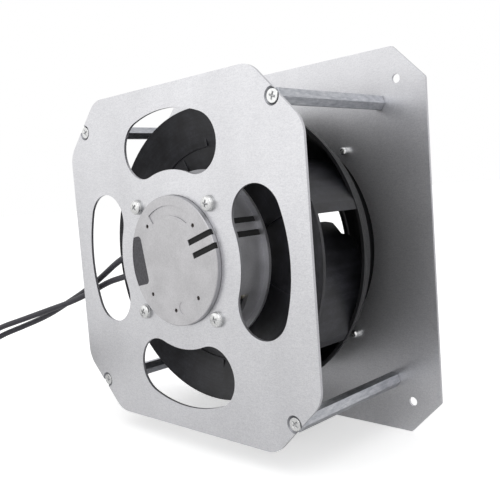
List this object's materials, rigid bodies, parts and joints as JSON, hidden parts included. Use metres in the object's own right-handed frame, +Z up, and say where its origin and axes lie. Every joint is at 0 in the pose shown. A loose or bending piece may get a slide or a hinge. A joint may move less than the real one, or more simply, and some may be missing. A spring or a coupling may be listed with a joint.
{
  "type": "plug fan",
  "caption": "Free-running centrifugal fan: backward-curved impeller on an external-rotor motor, held between a slotted support plate and an inlet plate by hexagonal spacers.",
  "frame": {"origin": "centre of the inlet plate's outer face, on the fan axis", "axes": "+Y along the fan axis from the motor side to the inlet, +Z up, +X to the right as seen from the motor side"},
  "size_m": [0.4595, 0.2501, 0.28],
  "materials": {
    "galvanised_sheet": "galvanised, fine grain",
    "cast_aluminium": "blasted casting",
    "zinc_plated_steel": "bright zinc",
    "impeller_plastic": "glass-filled moulding",
    "insert_plastic": "dark moulding",
    "black_rubber": "matt",
    "cable_jacket": "matt jacket",
    "core_insulation": "coloured cores in tin ferrules",
    "tie_plastic": "nylon",
    "brass": "bright",
    "board_laminate": "solder mask",
    "capacitor_can": "sleeved can",
    "ferrite": "sintered",
    "transistor_case": "epoxy",
    "bearing_steel": "ground",
    "core_steel": "stacked sheets",
    "slot_plastic": "moulded",
    "copper_wire": "enamelled winding wire",
    "spring_steel": "oiled"
  },
  "bodies": {
    "frame": {"support_plate": "galvanised_sheet", "inlet_plate": "galvanised_sheet", "inlet_ring": "galvanised_sheet", "inlet_ring_rivets": "zinc_plated_steel", "standoff_top_left": "zinc_plated_steel", "standoff_top_right": "zinc_plated_steel", "standoff_bottom_left": "zinc_plated_steel", "standoff_bottom_right": "zinc_plated_steel", "corner_screws": "zinc_plated_steel", "motor_housing": "cast_aluminium", "motor_screws": "zinc_plated_steel", "motor_washers": "zinc_plated_steel", "cable_exit_insert": "insert_plastic", "groove_strips": "black_rubber", "earth_terminal": "brass", "cable_gland": "black_rubber", "control_board": "board_laminate", "board_screws": "zinc_plated_steel", "board_capacitors": "capacitor_can", "board_choke": "ferrite", "power_transistors": "transistor_case", "bearing_tube": "cast_aluminium", "flange_screws": "zinc_plated_steel", "bearing_outer_rings": "bearing_steel", "preload_spring": "spring_steel", "stator_core": "core_steel", "slot_insulation": "slot_plastic", "stator_windings": "copper_wire", "power_cable": "cable_jacket", "control_cable": "cable_jacket", "power_cable_coil": "cable_jacket", "control_cable_coil": "cable_jacket", "power_cable_cores": "core_insulation", "control_cable_cores": "core_insulation", "cable_tie": "tie_plastic"},
    "rotor": {"impeller_wheel": "impeller_plastic", "impeller_shroud": "impeller_plastic", "impeller_screws": "zinc_plated_steel", "rotor_cup": "zinc_plated_steel", "rotor_magnets": "ferrite", "shaft": "bearing_steel", "circlip": "spring_steel", "bearing_inner_rings": "bearing_steel", "bearing_balls": "bearing_steel"}
  },
  "joints": [
    {"name": "impeller_spin", "type": "hinge", "parent": "frame", "child": "rotor", "pos_m": [0, -0.06, 0], "axis": [0, -1, 0], "continuous": true}
  ]
}
